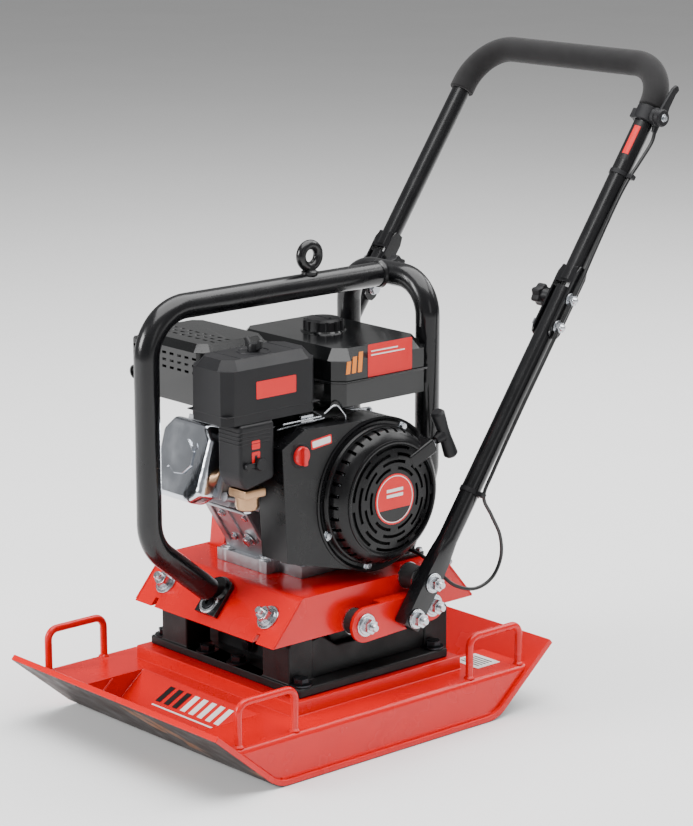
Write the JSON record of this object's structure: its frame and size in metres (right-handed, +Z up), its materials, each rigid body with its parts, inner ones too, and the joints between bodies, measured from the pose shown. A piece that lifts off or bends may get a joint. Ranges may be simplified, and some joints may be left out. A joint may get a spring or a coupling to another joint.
{
  "type": "plate compactor",
  "caption": "Walk-behind vibrating plate compactor with a petrol engine in a tube cage, belt-driven exciter and folding push handle.",
  "frame": {"origin": "middle of the flat sole, where it rests on the ground", "axes": "+Z up, -Y is the front that the plate travels towards, +X is the pull-starter side"},
  "size_m": [0.422, 0.8347, 0.8448],
  "materials": {
    "red_paint": "gloss powder coat",
    "black_paint": "satin black powder coat",
    "black_plastic": "textured moulded nylon",
    "rubber": "matt natural rubber",
    "foam": "closed-cell foam sleeve",
    "cast_iron": "black painted casting",
    "alloy": "die-cast, as cast",
    "steel": "turned and zinc plated",
    "chrome": "pressed and chromed",
    "brass": "yellow passivated",
    "red_plastic": "moulded"
  },
  "bodies": {
    "chassis": {"base_pan": "red_paint", "base_cover": "red_paint", "lift_loop_front_left": "red_paint", "lift_loop_front_right": "red_paint", "lift_loop_rear_left": "red_paint", "lift_loop_rear_right": "red_paint", "engine_deck": "red_paint", "belt_guard": "red_paint", "handle_bracket_left": "red_paint", "handle_bracket_right": "red_paint", "exciter_housing": "cast_iron", "exciter_bearing_left": "steel", "exciter_bearing_right": "steel", "drive_belt": "rubber", "throttle_cable_lower": "rubber", "shock_mount_front_left": "rubber", "shock_mount_front_right": "rubber", "shock_mount_rear_left": "rubber", "shock_mount_rear_right": "rubber", "handle_buffer_front_left": "rubber", "handle_buffer_front_right": "rubber", "handle_buffer_rear_left": "rubber", "handle_buffer_rear_right": "rubber", "handle_buffer_top_left": "rubber", "handle_buffer_top_right": "rubber", "crankcase": "alloy", "cylinder_head": "alloy", "rocker_cover": "chrome", "carburetor": "brass", "blower_housing": "black_plastic", "recoil_cover": "black_plastic", "air_cleaner_cover": "black_plastic", "intake_elbow": "black_plastic", "fuel_tank": "black_paint", "muffler_guard": "black_paint", "cage_front_hoop": "black_paint", "cage_rear_arch": "black_paint", "lifting_eye": "black_paint", "handle_lower_left": "black_paint", "handle_lower_right": "black_paint"},
    "crank_train": {"crankshaft": "steel", "clutch_pulley": "steel", "flywheel": "alloy"},
    "exciter_rotor": {"exciter_shaft": "steel", "eccentric_weight": "steel", "exciter_pulley": "cast_iron"},
    "upper_handle": {"handle_upper": "black_paint", "grip_foam": "foam", "throttle_clamp": "black_plastic", "throttle_cable_upper": "rubber"},
    "lock_knob_left": {"lock_knob_left": "black_plastic"},
    "lock_knob_right": {"lock_knob_right": "black_plastic"},
    "throttle_lever": {"throttle_lever": "black_plastic"},
    "throttle_arm": {"throttle_arm": "steel"},
    "pull_starter": {"recoil_grip": "black_plastic", "recoil_rope": "rubber"},
    "fuel_cap": {"fuel_cap": "black_plastic"},
    "air_cleaner_nut": {"air_cleaner_nut": "black_plastic"},
    "choke_lever": {"choke_lever": "black_plastic"},
    "engine_switch": {"engine_switch": "red_plastic"}
  },
  "joints": [
    {"name": "crank_spin", "type": "hinge", "parent": "chassis", "child": "crank_train", "pos_m": [0, 0.05, 0.314], "axis": [1, 0, 0], "continuous": true},
    {"name": "exciter_spin", "type": "hinge", "parent": "chassis", "child": "exciter_rotor", "pos_m": [0, 0.025, 0.146], "axis": [1, 0, 0], "continuous": true},
    {"name": "handle_fold", "type": "hinge", "parent": "chassis", "child": "upper_handle", "pos_m": [0, 0.3042, 0.50732], "axis": [-1, 0, 0], "range_deg": [0, 140]},
    {"name": "lock_knob_left_turn", "type": "hinge", "parent": "upper_handle", "child": "lock_knob_left", "pos_m": [-0.148, 0.32714, 0.54009], "axis": [1, 0, 0], "continuous": true},
    {"name": "lock_knob_right_turn", "type": "hinge", "parent": "upper_handle", "child": "lock_knob_right", "pos_m": [0.148, 0.32714, 0.54009], "axis": [1, 0, 0], "continuous": true},
    {"name": "throttle_lever_turn", "type": "hinge", "parent": "upper_handle", "child": "throttle_lever", "pos_m": [0.203, 0.48487, 0.76535], "axis": [-1, 0, 0], "range_deg": [0, 60]},
    {"name": "throttle_arm_turn", "type": "hinge", "parent": "chassis", "child": "throttle_arm", "pos_m": [0.0425, 0.076, 0.4], "axis": [1, 0, 0], "range_deg": [0, 25]},
    {"name": "starter_pull", "type": "slide", "parent": "chassis", "child": "pull_starter", "axis": [0, 0.9205, 0.3907], "range_m": [0, 0.5], "stiffness_N_per_m": 20, "springref_m": -0.3},
    {"name": "fuel_cap_lift", "type": "slide", "parent": "chassis", "child": "fuel_cap", "axis": [0, 0, 1], "range_m": [0, 0.022]},
    {"name": "air_cleaner_nut_turn", "type": "hinge", "parent": "chassis", "child": "air_cleaner_nut", "pos_m": [0.076, -0.112, 0.524], "axis": [0, 0, 1], "continuous": true},
    {"name": "choke_lever_turn", "type": "hinge", "parent": "chassis", "child": "choke_lever", "pos_m": [0.118, -0.138, 0.384], "axis": [1, 0, 0], "range_deg": [0, 50]},
    {"name": "engine_switch_turn", "type": "hinge", "parent": "chassis", "child": "engine_switch", "pos_m": [0.128, -0.078, 0.386], "axis": [1, 0, 0], "range_deg": [0, 60]}
  ],
  "couplings": [
    {"joint": "exciter_spin", "follows": "crank_spin", "ratio": 1.2},
    {"joint": "throttle_arm_turn", "follows": "throttle_lever_turn", "ratio": 0.41667}
  ]
}
